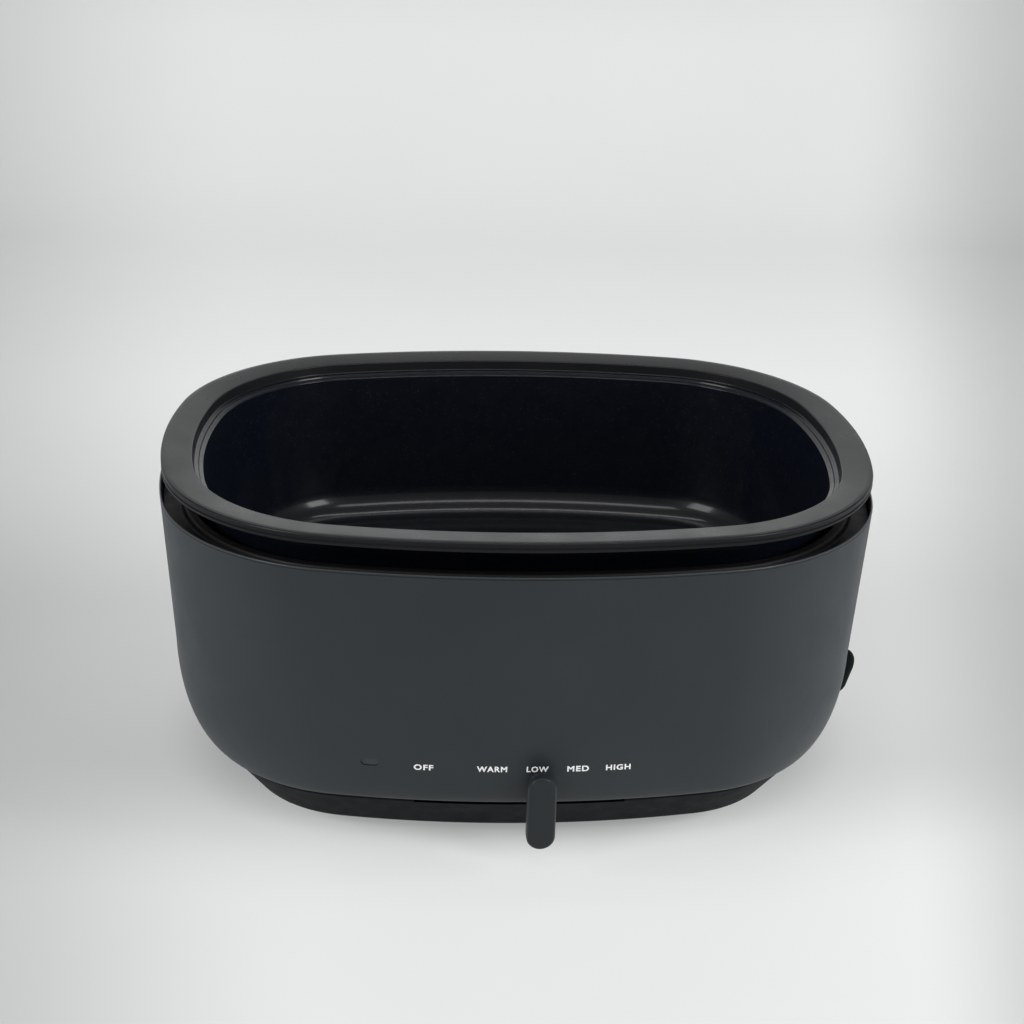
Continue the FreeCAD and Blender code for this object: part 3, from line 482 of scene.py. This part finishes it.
def white_print():
    m = Nodes("label_ink", (0.85, 0.86, 0.86), 0.55)
    m.vary_color(m.remap(m.noise(900, 3), 0.3, 0.6, 0, 1), (0.78, 0.79, 0.79), (0.9, 0.91, 0.91))
    return m.material


FINISHES = {
    "shell": satin_paint("shell_paint", (0.0205, 0.0246, 0.0278), (0.0232, 0.0276, 0.0312), 0.46,
                         specular=0.28),
    # lighter, glossier copy of the shell paint for the rolled top edge: its lighter colour is a painted
    # highlight
    "shell_edge_highlight": satin_paint("rolled_edge_highlight_paint", (0.024, 0.028, 0.031), (0.028, 0.032, 0.035), 0.3,
                              specular=0.6),
    "rim": satin_paint("rim_coating", (0.005, 0.0053, 0.0062), (0.0066, 0.0069, 0.008), 0.3,
                       grain=700, specular=0.4),
    # darker, duller copy of the rim coating for the flange's edge and the lid's step wall: painted shade
    "edge": satin_paint("edge_shade_coating", (0.004, 0.0043, 0.0052), (0.0055, 0.0058, 0.0068), 0.42,
                        grain=700, depth=0.01, specular=0.22),
    "coating": coated_pot(),
    "well": satin_paint("well_enamel", (0.004, 0.004, 0.0045), (0.0065, 0.0065, 0.007), 0.5,
                        grain=500, depth=0.02, specular=0.3),
    "liner": moulded_plastic("liner_plastic", (0.003, 0.003, 0.0035), (0.0045, 0.0045, 0.005), 0.5),
    "base": moulded_plastic("base_plastic", (0.0032, 0.0043, 0.0055), (0.004, 0.0052, 0.0065), 0.6,
                            depth=0.005, specular=0.08),
    "knob": moulded_plastic("knob_plastic", (0.0115, 0.0142, 0.0165), (0.0132, 0.016, 0.0184), 0.34,
                            grain=1100, depth=0.006, specular=0.28),
    "lens": moulded_plastic("lens_plastic", (0.019, 0.022, 0.0235), (0.022, 0.025, 0.027), 0.35,
                            grain=300, depth=0.003),
    "rubber": moulded_plastic("rubber", (0.008, 0.008, 0.008), (0.012, 0.012, 0.012), 0.75,
                              grain=500, depth=0.03),
    "zinc": sheet_metal("zinc_sheet", (0.42, 0.43, 0.44), (0.56, 0.57, 0.58), 0.38),
    "bright": sheet_metal("bright_sheet", (0.7, 0.71, 0.73), (0.82, 0.83, 0.85), 0.24),
    "spring": sheet_metal("spring_steel", (0.36, 0.37, 0.39), (0.5, 0.5, 0.52), 0.33, (500, 500, 12)),
    "mica": sheet_metal("mica_band", (0.4, 0.38, 0.34), (0.56, 0.53, 0.48), 0.42, (700, 700, 6)),
    "brass": sheet_metal("brass", (0.68, 0.47, 0.19), (0.8, 0.58, 0.27), 0.3, (500, 500, 20)),
    "acetal": moulded_plastic("acetal", (0.68, 0.66, 0.6), (0.78, 0.76, 0.71), 0.38,
                              grain=500, depth=0.01),
    "phenolic": moulded_plastic("phenolic", (0.035, 0.016, 0.009), (0.06, 0.03, 0.018), 0.32,
                                grain=400, depth=0.015),
    "felt": felt(),
    "glass": clear_glass(),
    "sleeve": heat_sleeve(),
    "ink": white_print(),
}


def finish_cad_nodes():
    """Gives every carried-over CAD piece its finish."""
    pieces = {
        "mica": ["lower_heater_band", "upper_heater_band"],
        "felt": ["insulation_wrap"],
        "bright": ["heat_shield", "thermal_fuse"],
        "zinc": ["base_plate", "lever_arm", "switch_bracket"],
        "spring": ["band_clips", "base_screws", "standoff_posts", "post_screws", "sector_rivets",
                   "pivot_pin", "pivot_clip", "fuse_clip"],
        "acetal": ["sector_gear", "switch_pinion", "contact_rotor", "terminal_block"],
        "brass": ["switch_shaft", "bushing_nut", "terminal_screws", "earth_stud"],
        "phenolic": ["rotary_switch", "lamp_holder"],
        "glass": ["neon_lamp"],
        "base": ["gland_nut", "cord_gland"],
        "sleeve": ["internal_leads"],
        "rubber": ["rubber_feet"],
        "lens": ["indicator_lens"],
    }
    for finish, names in pieces.items():
        for name in names:
            node = nodes[name]
            node.data.materials.clear()
            node.data.materials.append(FINISHES[finish])


# ---------------------------------------------------------------- pot
def build_pot():
    """Pot with a flange and a lid's step and ledge. The flange's top has a satin finish, and its edge and
    the step wall a darker, duller copy of it whose darker tone is painted shade.
    """
    rim, floor = RIM_Z, RIM_Z - POT_DEPTH
    under, base = rim - FLANGE_T, floor - POT_FLOOR_T
    groove, groove_d = rim - FLANGE_T / 2, FLANGE_D + GROOVE_T
    outline = rounded([
        (CORE_D, base), (SIDE_FLOOR_D, base, POT_FILLET + 2), (SIDE_TOP_D, rim - SIDE_DROP, 1.0),
        (COLLAR_FOOT_D, rim - COLLAR_DROP, 2.0), (COLLAR_TOP_D, under, 1.2), (FLANGE_D, under, 1.2),
        (FLANGE_D, groove - 2 * GROOVE_STEP), (groove_d, groove - GROOVE_STEP), (groove_d, groove),
        (FLANGE_D, groove + GROOVE_STEP), (FLANGE_D, rim, 0.9), (RIM_FLAT_D, rim, 8.0),
        (STEP_TOP_D, rim - RIM_FALL, 0.9), (STEP_FOOT_D, rim - STEP_DROP, 0.8),
        (SEAT_TOP_D, rim - SEAT_TOP_DROP, 0.4), (SEAT_FOOT_D, rim - SEAT_FOOT_DROP, 0.3),
        (POT_WALL_TOP_D, rim - LEDGE_DROP, 1.0), (POT_WALL_FLOOR_D, floor, POT_FILLET), (CORE_D, floor)])
    mesh = ring_mesh("pot", sweep_rings(RIM, outline), closed=False, caps=(0, -1))
    finishes = [FINISHES["coating"], FINISHES["rim"], FINISHES["edge"]]
    new_object("pot", mesh, "pot", ["cooking_pot"], finishes, angle=50)
    coated, top, edge = range(len(finishes))
    around = sum(ARC_STEPS)
    # A band runs from one outline point to the next, so the limits sit a little off the corners.
    for band, (inset, z) in enumerate(outline[:-1]):
        if inset > STEP_TOP_D + 0.2 or z < under - 0.1:
            finish = coated
        else:
            # the edge finish darkens the lip and the step wall: painted shade
            finish = top if z > rim - RIM_FALL - 0.5 else edge
        for face in mesh.polygons[band * around:(band + 1) * around]:
            face.material_index = finish


# ---------------------------------------------------------------- shell, ring, well and base
def shell_share(z):
    """Share of the way from the shell's top oval to its bottom one at height z."""
    if z < SHELL_Z0 + SHELL_ROUND:
        level = 1 - (z - SHELL_Z0) / SHELL_ROUND
        return SHELL_TAPER + (1 - SHELL_TAPER) * (1 - sqrt(max(0.0, 1 - level**2)))
    return SHELL_TAPER * (SHELL_Z1 - z) / (SHELL_Z1 - SHELL_Z0 - SHELL_ROUND)


def shell_front_y(x, z):
    _, half_d, r_front, _, _ = blend(SHELL_TOP, SHELL_BOTTOM, shell_share(z))
    return -(half_d - r_front + sqrt(r_front**2 - x**2))


def shell_levels():
    """Heights of the shell's rings, close together where it turns under."""
    levels = []
    for k in range(ROUND_LEVELS, -1, -1):
        levels.append(SHELL_Z0 + SHELL_ROUND * (1 - sin(pi / 2 * k / ROUND_LEVELS)))
    straight = SHELL_Z1 - SHELL_Z0 - SHELL_ROUND
    for k in range(1, STRAIGHT_LEVELS):
        levels.append(SHELL_Z0 + SHELL_ROUND + straight * k / STRAIGHT_LEVELS)
    return levels


def shell_ring(z, inset):
    return [(p.x, p.y, z) for p in oval_points(blend(SHELL_TOP, SHELL_BOTTOM, shell_share(z)), inset)]


def at_height(ring, z):
    return [(x, y, z) for x, y, _ in ring]


def build_shell():
    """Outer skin, rolled top edge, inner skin and the flange under the base."""
    levels = shell_levels()
    outer = [shell_ring(z, 0) for z in levels]
    line = [shell_ring(SHELL_Z1 - down, inset) for down, inset in SHELL_LINE]
    roll = SHELL_T / 2
    edge = []
    for k in range(ROLL_STEPS + 1):
        a = pi * k / ROLL_STEPS
        ring = shell_ring(SHELL_Z1 - roll, roll - roll * cos(a))
        edge.append(at_height(ring, SHELL_Z1 - roll + roll * sin(a)))
    inner = [at_height(shell_ring(z, SHELL_T), z + SHELL_T * shell_share(z)) for z in reversed(levels)]
    flange = sweep_rings(SHELL_BOTTOM, [(SHELL_FLANGE_D, SHELL_Z0 + SHELL_T), (SHELL_FLANGE_D, SHELL_Z0)])
    mesh = ring_mesh("shell", outer + line + edge + inner + flange)
    finishes = [FINISHES["shell"], FINISHES["shell_edge_highlight"], FINISHES["liner"]]
    shell = new_object("shell", mesh, "base", ["outer_shell"], finishes, angle=40)
    cut_with(shell, pill_cutter())
    _, top, cut = range(len(finishes))
    for face in shell.data.polygons:
        x, y, z = face.center / MM
        beside = abs(x - LENS_X) < LENS_W / 2 + WINDOW_MARGIN
        level = abs(z - LENS_Z) < LENS_H / 2 + WINDOW_MARGIN
        if y < OVAL_Y and beside and level and abs(face.normal.y) < CUT_FACING:
            face.material_index = cut
        # the rolled top edge takes the lighter copy of the shell paint: a painted highlight
        elif z > SHELL_Z1 - SHELL_T / 2:
            face.material_index = top


def pill_cutter():
    """Solid in the lens window's outline, through the shell's front where the window goes."""
    bm = bmesh.new()
    mid_y = shell_front_y(LENS_X, LENS_Z)
    turn = Matrix.Rotation(LENS_X / SHELL_TOP[2], 3, "Z")
    rows = []
    for depth in (-WINDOW_REACH, WINDOW_REACH):
        points = [turn @ Vector((z, depth, x)) for x, z in pill_points(LENS_H, LENS_W, 0)]
        moved = [Vector((p.x + LENS_X, p.y + mid_y + OVAL_Y, p.z + LENS_Z)) for p in points]
        rows.append([bm.verts.new(p * MM) for p in moved])
    join_rings(bm, rows)
    bm.faces.new(rows[0])
    bm.faces.new(rows[1])
    bmesh.ops.recalc_face_normals(bm, faces=bm.faces)
    return place_object("cutter", mesh_from("cutter", bm))


def build_liner():
    """Ring between the well and the shell, with a raised inner lip and a rib underneath."""
    foot, top = WELL_TOP_Z, WELL_TOP_Z + LINER_RISE
    outline = rounded([
        (LINER_D, foot), (LINER_D, top, 0.6), (LIP_OUT_D, top, 1.5), (LIP_TOP_D, top + LIP_RISE, 1.6),
        (LIP_IN_D, top + LIP_RISE, 2.0), (LIP_FOOT_D, foot), (RIB_IN_D, foot), (RIB_IN_D, foot - RIB_H),
        (RIB_OUT_D, foot - RIB_H), (RIB_OUT_D, foot)])
    mesh = ring_mesh("liner", sweep_rings(RIM, outline))
    new_object("liner", mesh, "base", ["liner_ring"], [FINISHES["liner"]], angle=40)


def build_well():
    floor, under = WELL_FLOOR_Z, WELL_FLOOR_Z - WELL_T
    outline = rounded([
        (CORE_D, under), (WELL_D_BOTTOM - WELL_T, under, WELL_FILLET + WELL_T),
        (WELL_D_TOP - WELL_T, WELL_TOP_Z - WELL_T, 0.5), (WELL_LIP_D, WELL_TOP_Z - WELL_T),
        (WELL_LIP_D, WELL_TOP_Z), (WELL_D_TOP, WELL_TOP_Z, 1.5), (WELL_D_BOTTOM, floor, WELL_FILLET),
        (CORE_D, floor)])
    mesh = ring_mesh("well", sweep_rings(RIM, outline), closed=False, caps=(0, -1))
    new_object("well", mesh, "base", ["heating_well"], [FINISHES["well"]], angle=40)


def build_tray():
    """Skirt that slopes in under the shell, with the notch that the lever swings in."""
    ledge_z = PLATE_Z1 + TRAY_LEDGE_H
    outline = rounded([
        (TRAY_D, SHELL_Z0), (TRAY_D, SHELL_Z0 - TRAY_EDGE_H, 1.5), (KNEE_D, KNEE_Z, 8),
        (TRAY_FOOT_D, TRAY_Z0), (TRAY_LIP_D, TRAY_Z0), (TRAY_LIP_D, PLATE_Z1), (TRAY_LEDGE_D, PLATE_Z1),
        (TRAY_LEDGE_D, ledge_z), (TRAY_INNER_D, ledge_z, 2),
        (TRAY_D + TRAY_T, SHELL_Z0 - TRAY_INNER_DROP, 1.5), (TRAY_D + TRAY_T, SHELL_Z0)])
    mesh = ring_mesh("tray", sweep_rings(SHELL_BOTTOM, outline))
    tray = new_object("tray", mesh, "base", ["base_tray"], [FINISHES["base"]], angle=40)
    cut_with(tray, box_cutter(*SLOT_X, -SHELL_BOTTOM[1] - 1, SLOT_BACK_Y, SLOT_Z0, SHELL_Z0 + 1))


# ---------------------------------------------------------------- knob, lens window and labels
def pill_points(width, height, inset):
    """Upright rounded bar outline in X and Z, centred on the origin."""
    r = width / 2 - inset
    straight = height / 2 - width / 2
    top = []
    for k in range(PILL_STEPS + 1):
        a = pi * k / PILL_STEPS
        top.append((r * cos(a), straight + r * sin(a)))
    return top + [(-x, -z) for x, z in top]


def rounded_rectangle(width, height, radius, inset):
    """Outline in X and Z, centred on the origin."""
    points = []
    for quarter, (side_x, side_z) in enumerate(((1, 1), (-1, 1), (-1, -1), (1, -1))):
        for k in range(RECTANGLE_STEPS + 1):
            a = pi / 2 * (quarter + k / RECTANGLE_STEPS)
            points.append((side_x * (width / 2 - radius) + (radius - inset) * cos(a),
                           side_z * (height / 2 - radius) + (radius - inset) * sin(a)))
    return points


def build_knob():
    """Rounded bar whose front edge is chamfered, on a short neck that takes the lever's tongue."""
    back, end = KNOB_T, KNOB_T + NECK_LENGTH
    bar = [                                # (inset, depth behind the front face), from the back
        (KNOB_BACK_ROUND, back), (0.25, back - 0.2), (0.0, back - KNOB_BACK_ROUND),
        (0.0, KNOB_CHAMFER + 0.15), (KNOB_SOFT, KNOB_CHAMFER), (KNOB_CHAMFER - KNOB_SOFT, KNOB_SOFT),
        (KNOB_CHAMFER + 2 * KNOB_SOFT, 0.0), (2.6, 0.0), (5.0, 0.0)]
    neck = [
        (-NECK_FLARE, back - NECK_FLARE), (-NECK_FLARE, back), (-0.3, back + 0.3), (0.0, back + 0.9),
        (0.0, end - NECK_BEVEL), (NECK_BEVEL, end)]
    lofts = [
        [(pill_points(KNOB_W, KNOB_H, inset), depth, KNOB_Z0 + KNOB_H / 2) for inset, depth in bar],
        [(rounded_rectangle(NECK_W, NECK_H, NECK_ROUND, inset), depth, NECK_Z) for inset, depth in neck]]
    bm = bmesh.new()
    for loft in lofts:
        rows = []
        for outline, depth, mid_z in loft:
            y = KNOB_FRONT_Y + depth
            rows.append([bm.verts.new((x * MM, y * MM, (mid_z + z) * MM)) for x, z in outline])
        join_rings(bm, rows)
        bm.faces.new(rows[0])
        bm.faces.new(rows[-1])
    bmesh.ops.recalc_face_normals(bm, faces=bm.faces)
    bm.transform(Matrix.Translation((0, OVAL_Y * MM, 0)) @ turn_about_pivot(LEVER_REST))
    mesh = mesh_from("knob", bm)
    new_object("knob", mesh, "lever", ["control_knob"], [FINISHES["knob"]], angle=30)


def turn_about_pivot(angle):
    pivot = Matrix.Translation((0, PIVOT_Y * MM, 0))
    return pivot @ Matrix.Rotation(angle, 4, "Z") @ pivot.inverted()


def label_source(text):
    """Word as flat lettering in the font's own size."""
    curve = bpy.data.curves.new("label_" + text, "FONT")
    curve.body = text
    curve.align_x = "CENTER"
    curve.size = 1.0
    curve.space_character = LABEL_SPACING
    curve.extrude = LABEL_EXTRUDE
    curve.bevel_depth = LABEL_BOLD
    curve.bevel_resolution = 1
    curve.resolution_u = 6
    source = place_object("source", curve)
    bpy.context.view_layer.update()
    mesh = bpy.data.meshes.new_from_object(source)
    bpy.data.objects.remove(source)
    return mesh


def build_label(text, x, width):
    """Printed setting name that lies on the shell's curve."""
    mesh = label_source(text)
    low, tall = min(v.co.y for v in mesh.vertices), max(v.co.y for v in mesh.vertices)
    left, right = min(v.co.x for v in mesh.vertices), max(v.co.x for v in mesh.vertices)
    scale, stretch = LABEL_CAP_H / (tall - low), width / (right - left)
    front = max(v.co.z for v in mesh.vertices)
    bm = bmesh.new()
    bm.from_mesh(mesh)
    bmesh.ops.triangulate(bm, faces=[f for f in bm.faces if len(f.verts) > 4])
    for v in bm.verts:
        px = x + (v.co.x - (left + right) / 2) * stretch
        pz = LABEL_Z - LABEL_CAP_H / 2 + (v.co.y - low) * scale
        proud = LABEL_FLOAT + LABEL_T * v.co.z / front
        v.co = Vector((px * MM, (shell_front_y(px, pz) - proud + OVAL_Y) * MM, pz * MM))
    bm.to_mesh(mesh)
    bm.free()
    new_object("label_" + text.lower(), mesh, "base", (), [FINISHES["ink"]], angle=30)


# ---------------------------------------------------------------- stage, light and camera
def build_stage():
    """Pale floor that curves up into a backdrop."""
    profile = [(FLOOR_FRONT, 0.0), (FLOOR_MID, 0.0), (0.0, 0.0), (FLOOR_BACK, 0.0)]
    for k in range(1, FLOOR_STEPS + 1):
        a = pi / 2 * k / FLOOR_STEPS
        profile.append((FLOOR_BACK + FLOOR_ROUND * sin(a), FLOOR_ROUND - FLOOR_ROUND * cos(a)))
    profile.append((FLOOR_BACK + FLOOR_ROUND, FLOOR_TOP))
    bm = bmesh.new()
    rows = [[bm.verts.new((x, y, z)) for x in (-FLOOR_HALF_W, 0, FLOOR_HALF_W)] for y, z in profile]
    for lower, upper in zip(rows, rows[1:]):
        for k in range(len(lower) - 1):
            bm.faces.new((lower[k], lower[k + 1], upper[k + 1], upper[k]))
    mesh = mesh_from("floor", bm)
    for polygon in mesh.polygons:
        polygon.use_smooth = True
    mesh.materials.append(floor_paper_painted_glow())
    place_object("floor", mesh)


def floor_paper_painted_glow():
    """Paper with painted light: it glows brightest in a fan in front of the cooker, fading to its sides
    and up, with painted shade beside the cooker, a painted contact shadow round its base and a bright band
    on the backdrop.
    """
    m = Nodes("floor_paper_painted_glow", (0.3, 0.305, 0.305), 0.7, specular=0.1)
    m.vary_color(m.remap(m.noise(6, 4), 0.3, 0.7, 0, 1), (0.296, 0.301, 0.301), (0.304, 0.309, 0.309))
    m.bump(m.noise(60, 4), 0.05)
    axes = m.tree.nodes.new("ShaderNodeSeparateXYZ")
    m.link(m.place(1.0), axes.inputs["Vector"])
    x, y, z = (axes.outputs[k] for k in "XYZ")
    # painted light: a fan of glow, brightest in front of the cooker
    fan = m.math("DIVIDE", x, m.math("MULTIPLY_ADD", y, FAN_SPREAD, FAN_START))
    sides = m.math("MULTIPLY", m.smooth(fan, *GLOW["fan_left"]), m.smooth(fan, *GLOW["fan_right"]))
    # painted shade on the floor beside the cooker
    beside = m.math("MULTIPLY", m.smooth(y, *GLOW["beside_near"]), m.smooth(y, *GLOW["beside_far"]))
    glow = m.math("MULTIPLY", sides, m.math("MULTIPLY_ADD", beside, PAINTED_SHADE_BESIDE, 1.0))
    # painted contact shadow: the glow dims in an oval round the base
    round_x = m.math("DIVIDE", x, CONTACT_X)
    round_y = m.math("DIVIDE", m.math("ADD", y, -CONTACT_MID_Y), CONTACT_Y)
    squares = [m.math("MULTIPLY", value, value) for value in (round_x, round_y)]
    glow = m.math("MULTIPLY", glow, m.smooth(m.math("ADD", *squares), *GLOW["contact"]))
    # painted falloff of the glow towards the back and up the backdrop
    glow = m.math("MULTIPLY", glow, m.smooth(y, *GLOW["floor_far"]))
    glow = m.math("MULTIPLY", glow, m.smooth(z, *GLOW["wall_low"]))
    # painted bright band low on the backdrop, whose glow lights the rim
    band = m.math("MULTIPLY", m.smooth(z, *GLOW["band_low"]), m.smooth(z, *GLOW["band_high"]))
    wall = m.math("MULTIPLY_ADD", band, BAND_GLOW, m.smooth(z, *GLOW["wall_high"]))
    m.shader.inputs["Emission Color"].default_value = (0.985, 1.0, 0.99, 1)
    m.link(m.math("MULTIPLY", glow, wall), m.shader.inputs["Emission Strength"])
    return m.material


def area_light(name, place, aim, size, power, reflected):
    data = bpy.data.lights.new(name, "AREA")
    data.shape = "RECTANGLE"
    data.size, data.size_y = size
    data.energy = power
    light = place_object(name, data)
    light.location = place
    light.rotation_mode = "QUATERNION"
    light.rotation_quaternion = (Vector(aim) - Vector(place)).to_track_quat("-Z", "Y")
    light.visible_glossy = reflected


def build_light():
    world = bpy.data.worlds.new("studio")
    bpy.context.scene.world = world
    world.use_nodes = True
    background = world.node_tree.nodes["Background"]
    background.inputs["Color"].default_value = (*WORLD_COLOR, 1)
    background.inputs["Strength"].default_value = WORLD_STRENGTH
    for light in LIGHTS:
        area_light(*light)


def build_camera():
    """Low three-quarter height in front, a little left of centre, slightly rolled."""
    level = cos(CAMERA_ELEVATION)
    towards = Vector((sin(CAMERA_YAW) * level, -cos(CAMERA_YAW) * level, sin(CAMERA_ELEVATION)))
    rim_centre = Vector((0, OVAL_Y * MM, RIM_Z * MM))
    place = rim_centre + CAMERA_DISTANCE * towards
    aim = rim_centre + Vector(CAMERA_AIM)
    data = bpy.data.cameras.new("camera")
    data.lens, data.sensor_width = CAMERA_LENS, CAMERA_SENSOR
    data.clip_start, data.clip_end = CAMERA_CLIP
    camera = place_object("camera", data)
    back = (place - aim).normalized()
    right = Vector((0, 0, 1)).cross(back).normalized()
    up = back.cross(right)
    rolled_right = cos(CAMERA_ROLL) * right + sin(CAMERA_ROLL) * up
    rolled_up = cos(CAMERA_ROLL) * up - sin(CAMERA_ROLL) * right
    turn = Matrix((rolled_right, rolled_up, back)).transposed().to_4x4()
    camera.matrix_world = Matrix.Translation(place) @ turn
    bpy.context.scene.camera = camera


bpy.context.scene.view_settings.view_transform = "Standard"
finish_cad_nodes()
build_pot()
build_shell()
build_liner()
build_well()
build_tray()
build_knob()
for word, (where, wide) in LABELS.items():
    build_label(word, where, wide)
build_stage()
build_light()
build_camera()
